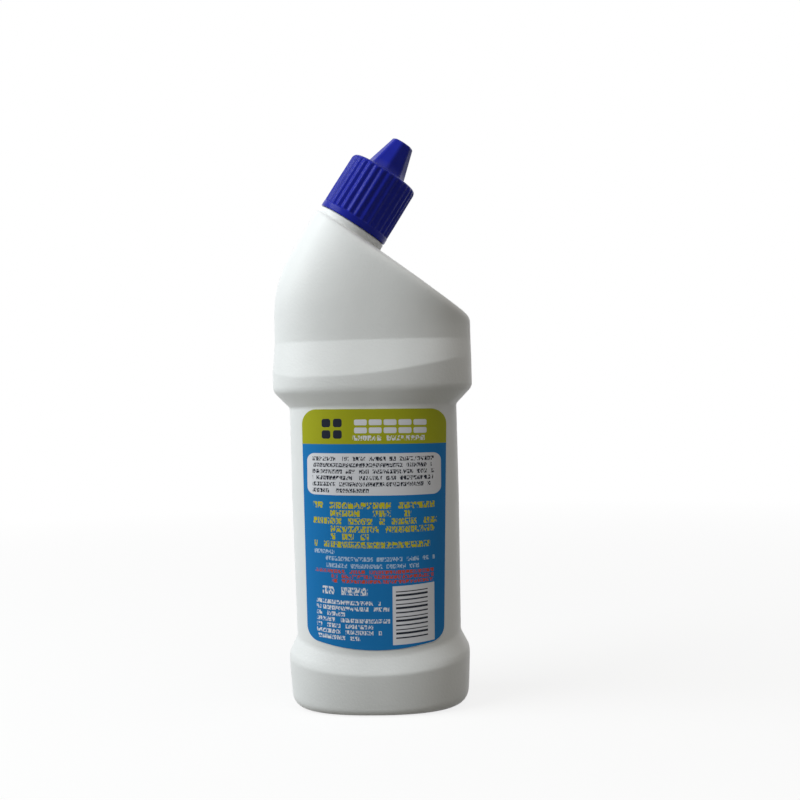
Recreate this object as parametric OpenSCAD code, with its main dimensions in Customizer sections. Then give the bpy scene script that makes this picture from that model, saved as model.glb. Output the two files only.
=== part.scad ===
// Toilet cleaner bottle with a leaning neck, a screw cap and a press-in nozzle.
// Millimetres. +Z is up, the label panels face -Y and +Y, and the neck leans towards +X.
// The origin is the middle of the bottle's footprint, on the surface that it stands on.

/* [Foot] */
// Width of the foot at its ridge
foot_w = 75.2; // [70:0.1:79]
// Depth of the foot at its ridge
foot_d = 53; // [50:0.1:56]
// Height of the ridge round the foot, in the middle of the front
ridge_z = 16.6; // [13:0.1:16.8]
// Height of that ridge at the sides
ridge_side_z = 20.2; // [16:0.1:20.6]
// How far the foot's wall draws in from the ridge down to the floor
foot_draft = 1.1; // [0:0.1:2]
// Round of the foot's bottom edge at the sides
foot_round = 6; // [3:0.1:7]
// Round of that edge in the middle of the front
foot_front_round = 3; // [2:0.1:6]
// Width of the flat rim that the bottle stands on
rim_w = 3; // [2:0.1:5]
// Rise of the hollow under the bottle
push_up = 2.6; // [1:0.1:5]

/* [Label panel] */
// Width of the waist behind the labels
panel_w = 69.5; // [66:0.1:72]
// Depth of the waist behind the labels
panel_d = 48; // [45:0.1:50]
// How much narrower the waist is at its lower end
panel_taper = 1.4; // [0:0.1:3]
// Height of the waist's lower edge, at the middle of the front
flare_front_z = 23.7; // [22:0.1:27]
// Height of the waist's lower edge, at the sides
flare_side_z = 29; // [25:0.1:34]
// Height at which the flare ends in the foot's wall, at the middle of the front
heel_front_z = 18.6; // [18.4:0.1:21]
// Height at which it ends at the sides
heel_side_z = 22.6; // [22.2:0.1:24]
// Height at which the waist is widest
waist_z = 85; // [60:1:110]
// Height of the waist's upper edge
panel_top_z = 123.4; // [118:0.1:124.5]

/* [Chest] */
// Width of the chest band, the widest part of the bottle
chest_w = 83; // [80:0.1:86]
// Depth of the chest band
chest_d = 53; // [51:0.1:56]
// Height of the band's lower edge
band_z = 130.3; // [128:0.1:133]
// Height of the sloping facet's lower edge, where it is lowest
facet_front_z = 135.7; // [134.5:0.1:140]
// Height of that edge at the side under the neck
facet_back_z = 138.6; // [135:0.1:143]
// Height of that edge at the side away from the neck
facet_far_z = 143; // [136:0.1:145]
// Height of the facet's upper edge
facet_top_z = 150; // [147:0.1:153]
// How far the chest's front and back draw in over the facet
facet_step = 3.6; // [0.5:0.1:4]
// How far the side under the neck draws in over the facet
facet_back_step = 1.1; // [0.2:0.1:1.5]
// How far the side away from the neck draws in over the facet
facet_far_step = 0.1; // [0.1:0.1:1]

/* [Shoulder] */
// Height at which the side under the neck starts to bend over
bend_z = 161.5; // [158:0.5:166]
// Radius of that bend
bend_r = 48; // [40:0.5:60]
// Lean of that side above the bend, from upright
bend_lean = 31.5; // [28:0.5:35]
// Height of the shoulder plane over the side under the neck
roof_back_z = 205.7; // [203:0.1:208]
// Height of the shoulder plane over the side away from the neck
roof_far_z = 159.3; // [157:0.1:162]
// How far the front and back lean in from the facet to the shoulder
shoulder_lean = 1.5; // [0:0.1:3]
// Crown of the shoulder plane
roof_crown = 0.9; // [0.2:0.1:2]
// Softness of the shoulder's front and back edges beside the neck
neck_edge = 6; // [3:0.1:7]
// Softness of those edges at the far end
far_edge = 3.6; // [2:0.1:6]
// Softness of the shoulder's two end corners
end_edge = 2.3; // [1:0.1:3]

/* [Wall] */
// Thickness of the blown wall
wall = 1.1; // [0.8:0.1:1.6]

/* [Neck] */
// Lean of the neck from upright
neck_lean = 33.8; // [30:0.1:37]
// Where the neck's axis meets the shoulder plane, from the plane's upper end
neck_set = 16.1; // [15.6:0.1:18]
// Height of the collar on that axis, from the shoulder plane to the cap
collar_h = 3.76; // [3:0.01:6]
// Radius of the white collar below the cap
collar_r = 15.3; // [14.8:0.05:15.6]
// Gap between the collar and the cap
collar_gap = 0.4; // [0.2:0.1:1]
// Wall of the collar
collar_wall = 1.3; // [1:0.1:1.6]
// Thickness of the step between the collar and the neck
collar_top_t = 1.3; // [1:0.1:2]
// Outer radius of the neck under its thread
neck_r = 12.5; // [12.2:0.05:12.8]
// Radius of the neck's bore
bore_r = 11.1; // [10.6:0.05:11.3]
// Height of the neck's lip above the cap's lower edge
neck_h = 19.4; // [18:0.1:20]

/* [Nozzle insert] */
// Depth of the plug that fills the neck's bore
plug_h = 7; // [4:0.5:10]
// Wall of that plug
plug_wall = 1; // [0.7:0.1:1.4]
// Clearance between the plug and the bore
plug_gap = 0.02; // [0.01:0.01:0.05]
// Radius of the flange that sits on the neck's lip
flange_r = 12.6; // [12:0.1:13]
// Thickness of the flange
flange_t = 1.8; // [1.2:0.1:2.2]
// Radius of the spout at its root
spout_root_r = 4.8; // [4:0.1:5.4]
// Radius of the spout at its tip
spout_tip_r = 2.5; // [2.2:0.1:2.7]
// Height of the spout above the flange
spout_h = 15.6; // [12:0.1:16]
// Radius of the spout's outlet
outlet_r = 1.5; // [1.3:0.05:1.6]
// Share of the spout's height at which its throat has narrowed to the outlet
spout_throat = 0.6; // [0.3:0.05:0.8]

/* [Seal ring] */
// Thickness of the seal ring in the cap
seal_t = 1.2; // [0.8:0.1:1.6]
// Inner radius of the seal ring
seal_in_r = 7.4; // [6.9:0.1:8]
// Outer radius of the seal ring
seal_out_r = 12.6; // [12:0.1:13.2]
// Gap on each face of the seal ring
seal_gap = 0.05; // [0.02:0.01:0.2]

/* [Cap] */
// Radius of the cap at its lower edge
cap_r = 15.4; // [15.2:0.05:15.8]
// How much smaller its radius is at the top
cap_draft = 0.3; // [0:0.05:0.5]
// Height of the cap without its nose
cap_h = 25.6; // [25.2:0.1:27]
// Height of the plain band at the cap's lower edge
cap_band_h = 2.6; // [1.5:0.1:4]
// Number of grip ribs
rib_count = 30; // [24:1:36]
// Depth of the grooves between the ribs
rib_depth = 0.6; // [0.3:0.05:0.7]
// Round of the cap's top edge
cap_round = 2; // [1:0.1:2.5]
// Radius of the cap's bore, over the neck's thread
cap_bore_r = 13.9; // [13.7:0.05:14]
// Flat-to-axis radius of the nose at its root
nose_root_r = 8.3; // [8:0.1:8.6]
// Flat-to-axis radius of the nose at its tip
nose_tip_r = 4.2; // [4.1:0.1:4.6]
// Height of the nose
nose_h = 14.6; // [14:0.1:16]
// Number of flat sides on the nose
nose_sides = 8; // [6:1:10]
// Turn of those sides about the neck's axis
nose_turn = 29; // [0:1:45]
// Height of the small step at the nose's root
nose_step_h = 0.9; // [0.4:0.1:1.2]
// How far that step stands out
nose_step_w = 1.7; // [1.2:0.1:2.5]
// Thickness of the nose's end wall
nose_end_t = 1.8; // [1.2:0.1:2]
// Wall of the nose at its root
nose_wall = 1.4; // [1:0.1:1.6]
// Wall of the nose at its tip
nose_tip_wall = 1.1; // [0.8:0.1:1.2]
// Radius of the pin that stops the spout
pin_r = 1.1; // [0.9:0.05:1.2]
// How far the pin reaches into the spout
pin_reach = 2.5; // [1:0.1:4]

/* [Labels] */
// Half width of a label at its upper end
label_top_half = 29.3; // [27:0.1:30]
// Half width of a label at its lower end
label_low_half = 27.6; // [25:0.1:29]
// Bare strip between a label and the waist's upper edge
label_top_gap = 1.2; // [1:0.1:6]
// Bare strip between a label and the waist's lower edge, in the middle
label_low_gap = 2.5; // [2:0.1:6]
// Rise of the lower edge from the middle to the corners
label_bow = 2.6; // [0:0.1:4]
// Corner radius of a label
label_corner = 6.2; // [3:0.1:9]
// How far a label sits beside the middle
label_shift = 0.8; // [-1:0.1:1]
// Degrees by which a label is stuck on askew
label_tilt = 1.1; // [-1.5:0.1:1.5]
// Thickness of a label
label_t = 0.15; // [0.1:0.01:0.25]
// Layer of adhesive behind a label
label_glue = 0.04; // [0.02:0.01:0.06]

/* [Hidden] */

body_white = "whitesmoke";
insert_white = "ivory";
seal_grey = "gainsboro";
cap_blue = "mediumblue";
label_blue = "steelblue";

// Columns round the body
columns = 48;
// Power of the body's rounded outline: 2 is an ellipse, and more is squarer
squareness = 2.5;
// Cuts that soften the body's creases, measured along the surface
ridge_cut = 1;
heel_cut = 0.8;
waist_low_cut = 1.6;
waist_top_cut = 0.9;
band_cut = 1.8;
facet_cut = 0.9;
least_cut = 0.5;
// How far the foot's side still draws in between the flare and the ridge
heel_step = 0.3;
// Sharpness with which the shoulder's side edges give way to its end corners
edge_power = 0.8;
foot_half = foot_w / 2;
foot_deep = foot_d / 2;
panel_half = panel_w / 2;
panel_deep = panel_d / 2;
chest_half = chest_w / 2;
chest_deep = chest_d / 2;
upper_back = chest_half - facet_back_step;
upper_far = chest_half - facet_far_step;
upper_deep = chest_deep - facet_step;

// Steps in which the body's creases, bend and shoulder are drawn
outer_steps = 3;
inner_steps = 1;
fan_steps = 9;
circle_fn = 96;
// Length by which a cut runs past the face that it opens
over = 1;
// Shares of the half width at which the facet's lower edge starts to rise,
// towards the far side and towards the side under the neck
facet_far_start = -0.35;
facet_back_start = 0.66;
// Sharpness of those two rises
facet_rise_power = 1.75;

function mix(a, b, t) = a + (b - a) * t;
function unit(v) = v / max(norm(v), 1e-6);
function power(v, p) = sign(v) * pow(abs(v), p);
function across(j) = power(cos(360 * j / columns), 2 / squareness);
function deep(j) = power(sin(360 * j / columns), 2 / squareness);

// A ring of the body: half width, half depth, and its height at
// the front, at the far side and at the side under the neck.
function level(half, depth, front_z, far_z, back_z) = [
    for (j = [0:columns - 1])
        let (c = across(j), s = deep(j))
        [half * c, depth * s, mix(front_z, c > 0 ? far_z : back_z, c * c)]
];

// Height of the facet's lower edge at a share of the half width
function facet_z(c) =
    facet_front_z
    + (facet_far_z - facet_front_z)
        * pow(max(0, (c - facet_far_start) / (1 - facet_far_start)), facet_rise_power)
    + (facet_back_z - facet_front_z)
        * pow(max(0, (-c - facet_back_start) / (1 - facet_back_start)), facet_rise_power);

function flat_level(half, depth, z) = level(half, depth, z, z, z);

// The outline of the side under the neck: upright, then an arc, then leaning.
bend_top_z = bend_z + bend_r * sin(bend_lean);
bend_in = bend_r * (1 - cos(bend_lean));
function back_x(z, inset) =
    let (x = upper_back - inset)
    z < bend_z ? -x
    : z < bend_top_z ? -x + bend_r - sqrt(bend_r * bend_r - pow(z - bend_z, 2))
    : -x + bend_in + (z - bend_top_z) * tan(bend_lean);

// The shoulder plane, which falls from its upper end to the far side
roof_back_x = back_x(roof_back_z, 0);
roof_slope = atan2(roof_back_z - roof_far_z, upper_far - roof_back_x);

// Half depth of the body above the facet, at a height
function upper_depth(z, inset) =
    upper_deep - inset - shoulder_lean * max(0, z - facet_top_z) / (roof_back_z - facet_top_z);

// One ring of the shoulder, in a plane that leans more the higher it is
function fan_ring(t, inset) =
    let (
        sink = inset / cos(roof_slope),
        z_back = mix(facet_top_z, roof_back_z - sink, t),
        z_far = mix(facet_top_z, roof_far_z - sink, t),
        x_back = back_x(z_back, inset),
        x_far = upper_far - inset
    ) [
        for (j = [0:columns - 1])
            let (c = across(j), z = mix(z_back, z_far, (c + 1) / 2))
            [mix(x_back, x_far, (c + 1) / 2), upper_depth(z, inset) * deep(j), z]
    ];

// The roof ring again, drawn in towards its middle and raised by the crown
function roof_ring(scale, inset) =
    let (
        edge = fan_ring(1, inset),
        middle = (edge[0] + edge[columns / 2]) / 2,
        along = unit(edge[0] - edge[columns / 2]),
        up = [-along[2], 0, along[0]],
        rise = roof_crown * (1 - scale * scale)
    ) [for (p = edge) middle + (p - middle) * scale + up * rise];

// Softness of the shoulder's edge at one column
function edge_cut(j) =
    let (c = across(j), side = mix(neck_edge, far_edge, (c + 1) / 2))
    mix(end_edge, side, pow(abs(sin(360 * j / columns)), edge_power));

// Rounds the crease of ring b between rings a and c: a curve from a cut's
// length before the crease to a cut's length after it.
function crease(a, b, c, cuts, steps) = [
    for (k = [0:steps])
        let (t = k / steps)
        [for (j = [0:columns - 1])
            let (
                p = b[j] + unit(a[j] - b[j]) * cuts[j],
                q = b[j] + unit(c[j] - b[j]) * cuts[j]
            ) (1 - t) * (1 - t) * p + 2 * t * (1 - t) * b[j] + t * t * q]
];

// Softness of the foot's bottom edge, column by column
function foot_cuts(less) = [
    for (j = [0:columns - 1])
        mix(foot_front_round, foot_round, across(j) * across(j)) - less
];

function even(cut) = [for (j = [0:columns - 1]) cut];

// Closed skin through rings from the bottom to the top, with a pole at each end
module skin(low, rings, high) {
    count = len(rings);
    points = concat([low], [for (r = rings) each r], [high]);
    last = count * columns + 1;
    faces = concat(
        [for (j = [0:columns - 1]) [0, 1 + j, 1 + (j + 1) % columns]],
        [for (k = [0:count - 2], j = [0:columns - 1], half = [0, 1])
            let (
                p = 1 + k * columns + j,
                q = 1 + k * columns + (j + 1) % columns
            ) half == 0 ? [p, p + columns, q] : [q, p + columns, q + columns]],
        [for (j = [0:columns - 1])
            [last, last - columns + (j + 1) % columns, last - columns + j]]
    );
    polyhedron(points = points, faces = faces, convexity = 8);
}

function waist_low_ring(inset) =
    level(panel_half - panel_taper / 2 - inset, panel_deep - inset,
        flare_front_z, flare_side_z, flare_side_z);

function waist_ring(inset, z) = flat_level(panel_half - inset, panel_deep - inset, z);

// Rings of the body. An inset of zero gives the outside, and the wall's
// thickness gives the inside.
function body_rings(inset, steps) =
    let (
        floor_z = inset,
        low_half = foot_half - foot_draft - inset,
        low_deep = foot_deep - foot_draft - inset,
        stand = foot_round + rim_w - inset * sqrt(2),
        hollow = flat_level(low_half - stand - push_up, low_deep - stand - push_up, push_up + inset),
        rim = flat_level(low_half - stand, low_deep - stand, floor_z),
        heel = flat_level(low_half, low_deep, floor_z),
        ridge = level(foot_half - inset, foot_deep - inset,
            ridge_z, ridge_side_z, ridge_side_z),
        drop = (flare_front_z - heel_front_z) / (flare_front_z - ridge_z),
        heel_top = level(foot_half - heel_step - inset,
            mix(panel_deep, foot_deep, drop) - inset,
            heel_front_z, heel_side_z, heel_side_z),
        waist_low = waist_low_ring(inset),
        waist = waist_ring(inset, waist_z),
        waist_top = waist_ring(inset, panel_top_z),
        band_low = flat_level(chest_half - inset, chest_deep - inset, band_z),
        band_top = [
            for (p = flat_level(chest_half - inset, chest_deep - inset, 0))
                [p[0], p[1], facet_z(p[0] / (chest_half - inset))]
        ],
        upper = fan_ring(0, inset),
        roof = fan_ring(1, inset),
        under_roof = fan_ring((fan_steps - 3) / fan_steps, inset),
        roof_scales = [0.45, 0.2],
        edge = [for (j = [0:columns - 1]) max(edge_cut(j) - inset, least_cut)]
    )
    concat(
        [hollow, rim],
        crease(rim, heel, ridge, foot_cuts(inset / 2), steps),
        crease(heel, ridge, heel_top, even(ridge_cut), steps),
        crease(ridge, heel_top, waist_low, even(heel_cut), steps),
        crease(heel_top, waist_low, waist, even(waist_low_cut), steps),
        [waist],
        crease(waist, waist_top, band_low, even(waist_top_cut), steps),
        crease(waist_top, band_low, band_top, even(band_cut), steps),
        crease(band_low, band_top, upper, even(facet_cut), steps),
        crease(band_top, upper, fan_ring(1 / fan_steps, inset), even(facet_cut), steps),
        [for (k = [1:fan_steps - 3]) fan_ring(k / fan_steps, inset)],
        crease(under_roof, roof, roof_ring(roof_scales[0], inset), edge, steps),
        [for (scale = roof_scales) roof_ring(scale, inset)]
    );

function roof_middle(inset) =
    let (r = roof_ring(0, inset)) r[0];

module body_skin(inset, steps) {
    skin([0, 0, push_up + inset], body_rings(inset, steps), roof_middle(inset));
}

// The point of the neck's axis at the cap's lower edge
neck_x = roof_back_x + neck_set * cos(roof_slope) + collar_h * sin(neck_lean);
neck_z = roof_back_z - neck_set * sin(roof_slope) + collar_h * cos(neck_lean);

// Puts a piece that is drawn upright on the neck's axis, with its zero height
// at the cap's lower edge.
module on_neck() {
    translate([neck_x, 0, neck_z]) rotate([0, neck_lean, 0]) children();
}

// Height of the collar's end inside the shoulder, where the wall's inside trims it
collar_root_z = -collar_h - 4 * wall;

module bottle() {
    color(body_white)
    difference() {
        union() {
            body_skin(0, outer_steps);
            on_neck() {
                translate([0, 0, collar_root_z])
                cylinder(r = collar_r, h = -collar_gap - collar_root_z, $fn = circle_fn);
                translate([0, 0, -collar_gap - over])
                cylinder(r = neck_r, h = neck_h + collar_gap + over, $fn = circle_fn);
            }
        }
        body_skin(wall, inner_steps);
        on_neck() {
            translate([0, 0, collar_root_z - over])
            cylinder(r = collar_r - collar_wall, h = over - collar_root_z - collar_gap - collar_top_t,
                $fn = circle_fn);
            translate([0, 0, collar_root_z])
            cylinder(r = bore_r, h = neck_h + over - collar_root_z, $fn = circle_fn);
        }
    }
}

// A plug that fills the bore, with a flange on the neck's lip and a spout above
module nozzle_insert() {
    plug_r = bore_r - plug_gap;
    throat_h = spout_h * spout_throat;
    color(insert_white)
    on_neck()
    difference() {
        union() {
            translate([0, 0, neck_h - plug_h])
            cylinder(r = plug_r, h = plug_h + flange_t / 2, $fn = circle_fn);
            translate([0, 0, neck_h])
            cylinder(r = flange_r, h = flange_t, $fn = circle_fn);
            translate([0, 0, neck_h + flange_t])
            cylinder(r1 = spout_root_r, r2 = spout_tip_r, h = spout_h, $fn = circle_fn);
        }
        translate([0, 0, neck_h - plug_h - over])
        cylinder(r = plug_r - plug_wall, h = plug_h + over, $fn = circle_fn);
        translate([0, 0, neck_h - over])
        cylinder(r1 = spout_root_r - plug_wall, r2 = outlet_r, h = throat_h + over,
            $fn = circle_fn);
        translate([0, 0, neck_h])
        cylinder(r = outlet_r, h = flange_t + spout_h + over, $fn = circle_fn);
    }
}

// Height of the seal ring's lower face
seal_z = neck_h + flange_t + seal_gap;

module seal_ring() {
    color(seal_grey)
    on_neck()
    translate([0, 0, seal_z])
    difference() {
        cylinder(r = seal_out_r, h = seal_t, $fn = circle_fn);
        translate([0, 0, -over]) cylinder(r = seal_in_r, h = seal_t + 2 * over, $fn = circle_fn);
    }
}

// Height of the cap's ceiling over the seal ring
ceiling_z = seal_z + seal_t + seal_gap;

// A star with a tooth for each rib
module rib_outline() {
    pitch = 360 / rib_count;
    polygon([for (k = [0:rib_count - 1], half = [0, 1])
        let (
            r = half == 0 ? cap_r : cap_r - cap_draft - rib_depth,
            a = (k + half / 2) * pitch
        ) [r * cos(a), r * sin(a)]]);
}

// Envelope of the cap's side: a slight draft and a rounded top edge
module cap_envelope() {
    top_r = cap_r - cap_draft;
    rotate_extrude($fn = circle_fn)
    polygon(concat(
        [[0, 0], [cap_r, 0]],
        [for (a = [0:15:90])
            [top_r - cap_round + cap_round * cos(a), cap_h - cap_round + cap_round * sin(a)]],
        [[0, cap_h]]
    ));
}

// The nose's outside: a round bar cut flat on each side
module nose_outside() {
    lean = atan((nose_root_r - nose_tip_r) / nose_h);
    root_r = nose_root_r / cos(180 / nose_sides) + over;
    difference() {
        cylinder(r = root_r, h = nose_h, $fn = circle_fn);
        for (k = [0:nose_sides - 1])
            rotate([0, 0, nose_turn + k * 360 / nose_sides])
            translate([nose_root_r, -2 * root_r, 0])
            rotate([0, -lean, 0])
            translate([0, 0, -2 * root_r])
            cube([2 * root_r, 4 * root_r, 4 * root_r]);
    }
}

module cap() {
    nose_bore_root = nose_root_r - nose_wall;
    nose_bore_tip = nose_tip_r - nose_tip_wall;
    color(cap_blue)
    on_neck()
    difference() {
        union() {
            intersection() {
                union() {
                    linear_extrude(cap_h) rib_outline();
                    cylinder(r = cap_r, h = cap_band_h, $fn = circle_fn);
                }
                cap_envelope();
            }
            translate([0, 0, cap_h - over])
            cylinder(r = nose_root_r + nose_step_w, h = over, $fn = circle_fn);
            translate([0, 0, cap_h])
            cylinder(r1 = nose_root_r + nose_step_w, r2 = nose_root_r + nose_step_w - nose_step_h,
                h = nose_step_h, $fn = circle_fn);
            translate([0, 0, cap_h]) nose_outside();
        }
        difference() {
            union() {
                translate([0, 0, -over]) cylinder(r = cap_bore_r, h = ceiling_z + over, $fn = circle_fn);
                translate([0, 0, ceiling_z - over])
                cylinder(r = nose_bore_root, h = cap_h - ceiling_z + over, $fn = circle_fn);
                translate([0, 0, cap_h])
                cylinder(r1 = nose_bore_root, r2 = nose_bore_tip, h = nose_h - nose_end_t, $fn = circle_fn);
            }
            translate([0, 0, neck_h + flange_t + spout_h - pin_reach])
            cylinder(r = pin_r, h = nose_h + nose_end_t, $fn = circle_fn);
        }
    }
}

label_top_z = panel_top_z - label_top_gap;
label_low_z = flare_front_z + label_low_gap;
label_mid_z = (label_top_z + label_low_z) / 2;

// Outline of a label, seen from the front
function label_outline() =
    let (
        r = label_corner,
        edge = function (z) mix(label_low_half, label_top_half,
            (z - label_low_z) / (label_top_z - label_low_z)),
        low = label_low_z + label_bow,
        top_x = edge(label_top_z - r) - r,
        low_x = edge(low + r) - r,
        right = concat(
            [for (t = [0:0.2:0.8]) [low_x * t, label_low_z + label_bow * t * t]],
            [for (a = [-75:15:0]) [low_x + r * cos(a), low + r + r * sin(a)]],
            [for (a = [0:15:90]) [top_x + r * cos(a), label_top_z - r + r * sin(a)]]
        ),
        count = len(right)
    )
    concat(right, [for (k = [count - 1:-1:1]) [-right[k][0], right[k][1]]]);

// The waist alone, grown outwards, for what is stuck on it
module waist_skin(grow) {
    skin([0, 0, flare_front_z / 2], [
        waist_low_ring(-grow),
        waist_ring(-grow, waist_z),
        waist_ring(-grow, panel_top_z)
    ], [0, 0, panel_top_z]);
}

module label_shape() {
    translate([label_shift, label_mid_z])
        rotate(-label_tilt)
        translate([0, -label_mid_z])
        polygon(label_outline());
}

module label() {
    intersection() {
        difference() {
            waist_skin(label_glue + label_t);
            waist_skin(label_glue);
        }
        rotate([90, 0, 0]) linear_extrude(panel_d) label_shape();
    }
}

module back_label() {
    color(label_blue) label();
}

module front_label() {
    color(label_blue) rotate([0, 0, 180]) label();
}

bottle();
nozzle_insert();
seal_ring();
cap();
back_label();
front_label();
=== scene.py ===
# %% [markdown]
# # A toilet cleaner bottle
# The bottle is blown from white polyethylene. It stands on an oval foot, has a film label on
# each broad side, a chest band with a sloping facet, and a shoulder that leans so that the
# neck points under a rim. A ribbed blue cap with an eight-sided nose closes it.
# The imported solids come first, because every piece is fitted to them.

# %% Load the frame
import math
import bpy
import bmesh
from mathutils import Matrix, Vector


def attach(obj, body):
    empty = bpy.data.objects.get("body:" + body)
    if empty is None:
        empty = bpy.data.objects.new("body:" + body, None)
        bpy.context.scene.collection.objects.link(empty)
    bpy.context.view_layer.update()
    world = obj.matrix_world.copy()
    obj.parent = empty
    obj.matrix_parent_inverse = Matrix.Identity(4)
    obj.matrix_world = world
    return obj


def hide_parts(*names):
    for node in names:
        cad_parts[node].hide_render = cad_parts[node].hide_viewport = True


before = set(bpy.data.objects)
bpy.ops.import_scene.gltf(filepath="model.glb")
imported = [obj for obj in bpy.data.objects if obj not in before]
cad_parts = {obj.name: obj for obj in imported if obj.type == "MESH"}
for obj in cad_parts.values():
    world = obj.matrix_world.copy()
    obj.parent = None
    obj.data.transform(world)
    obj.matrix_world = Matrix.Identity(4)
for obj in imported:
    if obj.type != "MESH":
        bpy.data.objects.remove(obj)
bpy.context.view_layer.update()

MM = 0.001

# %% [markdown]
# ## A loft
# Bottles, caps and nozzles are skins through rings of points. The loft starts from one circle
# and extrudes its edge once for each further ring. Each vertex remembers its column, so the
# new ring is put in place column by column and the skin never twists. Both ends are closed
# with a fan of faces.

# %% Loft through rings
def only(geometry, kind):
    return [part for part in geometry if isinstance(part, kind)]


def put_ring(verts, column, ring):
    for v in verts:
        v.co = ring[v[column]]


def close_end(bm, edges):
    cap = bmesh.ops.contextual_create(bm, geom=edges)["faces"]
    bmesh.ops.poke(bm, faces=cap)


def loft(rings):
    bm = bmesh.new()
    column = bm.verts.layers.int.new("column")
    bmesh.ops.create_circle(bm, radius=1, segments=len(rings[0]))
    bm.verts.ensure_lookup_table()
    for j, v in enumerate(bm.verts):
        v[column] = j
    put_ring(bm.verts, column, rings[0])
    first = edges = list(bm.edges)
    for ring in rings[1:]:
        grown = bmesh.ops.extrude_edge_only(bm, edges=edges)["geom"]
        put_ring(only(grown, bmesh.types.BMVert), column, ring)
        edges = only(grown, bmesh.types.BMEdge)
    close_end(bm, first)
    close_end(bm, edges)
    bmesh.ops.recalc_face_normals(bm, faces=bm.faces)
    print("loft through", len(rings), "rings of", len(rings[0]), "points")
    return bm


# %% [markdown]
# ## From a mesh to a piece
# All lengths are written in millimetres, as on a drawing, and a finished mesh is scaled to
# metres once. A piece stays at the origin, rides on its body and hides the CAD node that it
# stands for. Edges that are sharper than a given angle keep a crisp shade.

# %% Finish a piece
def finish(bm, name, node, body, materials, sharp=40):
    bmesh.ops.scale(bm, vec=(MM, MM, MM), verts=bm.verts)
    mesh = bpy.data.meshes.new(name)
    bm.to_mesh(mesh)
    bm.free()
    mesh.shade_smooth()
    mesh.set_sharp_from_angle(angle=math.radians(sharp))
    piece = bpy.data.objects.new(name, mesh)
    bpy.context.scene.collection.objects.link(piece)
    for material in materials:
        mesh.materials.append(material)
    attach(piece, body)
    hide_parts(node)
    print(name, "has", len(mesh.polygons), "faces")
    return piece


# %% [markdown]
# ## The camera
# The photograph is taken level, at half the bottle's height and about half a metre away. The
# bottle stands turned by a few degrees, and the frame is rolled by a degree and a half. The
# camera's three axes are built from those two angles.

# %% Camera
TURN = math.radians(4)
ROLL = math.radians(1.6)
VIEW_DISTANCE = 471
VIEW_RIGHT = 7.75
VIEW_UP = 125.7
LENS = 50.58

side_way = Vector((math.cos(TURN), math.sin(TURN), 0))
forward = Vector((-math.sin(TURN), math.cos(TURN), 0))
right = side_way * math.cos(ROLL) - Vector((0, 0, math.sin(ROLL)))
up = side_way * math.sin(ROLL) + Vector((0, 0, math.cos(ROLL)))
spot = (right * VIEW_RIGHT + up * VIEW_UP - forward * VIEW_DISTANCE) * MM

camera_data = bpy.data.cameras.new("camera")
camera_data.lens = LENS
camera_data.sensor_width = 36
camera_data.clip_start = 0.02
camera = bpy.data.objects.new("camera", camera_data)
camera.matrix_world = Matrix((
    (right.x, up.x, -forward.x, spot.x),
    (right.y, up.y, -forward.y, spot.y),
    (right.z, up.z, -forward.z, spot.z),
    (0, 0, 0, 1),
))
bpy.context.scene.collection.objects.link(camera)
bpy.context.scene.camera = camera
print("camera at", tuple(round(c, 3) for c in spot))

# %% [markdown]
# ## Node helpers
# A finish is a small network of nodes. These helpers add a node, join two sockets and start a
# material, so that each finish below reads as a list of what it is made of.

# %% Node helpers
def add(tree, kind, **settings):
    node = tree.nodes.new(kind)
    for key, value in settings.items():
        setattr(node, key, value)
    return node


def feed(tree, socket, value):
    if isinstance(value, bpy.types.NodeSocket):
        tree.links.new(value, socket)
    else:
        socket.default_value = value


def maths(tree, operation, a, b=0.0, clamp=False):
    node = add(tree, "ShaderNodeMath", operation=operation, use_clamp=clamp)
    feed(tree, node.inputs[0], a)
    feed(tree, node.inputs[1], b)
    return node.outputs[0]


def blend_colour(tree, mask, below, above):
    node = add(tree, "ShaderNodeMix", data_type="RGBA")
    feed(tree, node.inputs["Factor"], mask)
    feed(tree, node.inputs["A"], below)
    feed(tree, node.inputs["B"], above)
    return node.outputs["Result"]


def new_finish(name, roughness, colour=(0.8, 0.8, 0.8, 1)):
    material = bpy.data.materials.new(name)
    material.use_nodes = True
    tree = material.node_tree
    shader = tree.nodes["Principled BSDF"]
    shader.inputs["Roughness"].default_value = roughness
    shader.inputs["Base Color"].default_value = colour
    print("finish", name, "has roughness", roughness)
    return material, tree, shader


def group_of(name, inputs, outputs):
    tree = bpy.data.node_groups.new(name, "ShaderNodeTree")
    for label, value in inputs:
        socket = tree.interface.new_socket(label, in_out="INPUT", socket_type="NodeSocketFloat")
        socket.default_value = value
    for label in outputs:
        tree.interface.new_socket(label, in_out="OUTPUT", socket_type="NodeSocketFloat")
    print("node group", name, "gives", ", ".join(outputs))
    return tree, add(tree, "NodeGroupInput").outputs, add(tree, "NodeGroupOutput").inputs


# %% [markdown]
# ## Moulded surface
# Blown and moulded plastics share two things: a fine pebbled skin and slow waves where the
# plastic shrank. One node group makes both as a height, and each material sets its own scale
# and strength for the Bump node that reads it. The waves also serve as a faint mottle.

# %% Moulded surface group
def make_moulded_group():
    names = (("Pebble size", 1.2), ("Wave size", 18.0), ("Wave share", 0.5))
    tree, given, out = group_of("moulded_surface", names, ["Height", "Mottle"])
    place = add(tree, "ShaderNodeTexCoord").outputs["Object"]

    def noise(size, detail):
        node = add(tree, "ShaderNodeTexNoise")
        node.inputs["Detail"].default_value = detail
        feed(tree, node.inputs["Vector"], place)
        feed(tree, node.inputs["Scale"], maths(tree, "DIVIDE", 1 / MM, size))
        return node.outputs["Fac"]

    pebbles = noise(given["Pebble size"], 2.0)
    waves = noise(given["Wave size"], 1.0)
    feed(tree, out["Height"],
        maths(tree, "ADD", pebbles, maths(tree, "MULTIPLY", waves, given["Wave share"])))
    feed(tree, out["Mottle"], waves)
    return tree


MOULDED = make_moulded_group()


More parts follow.
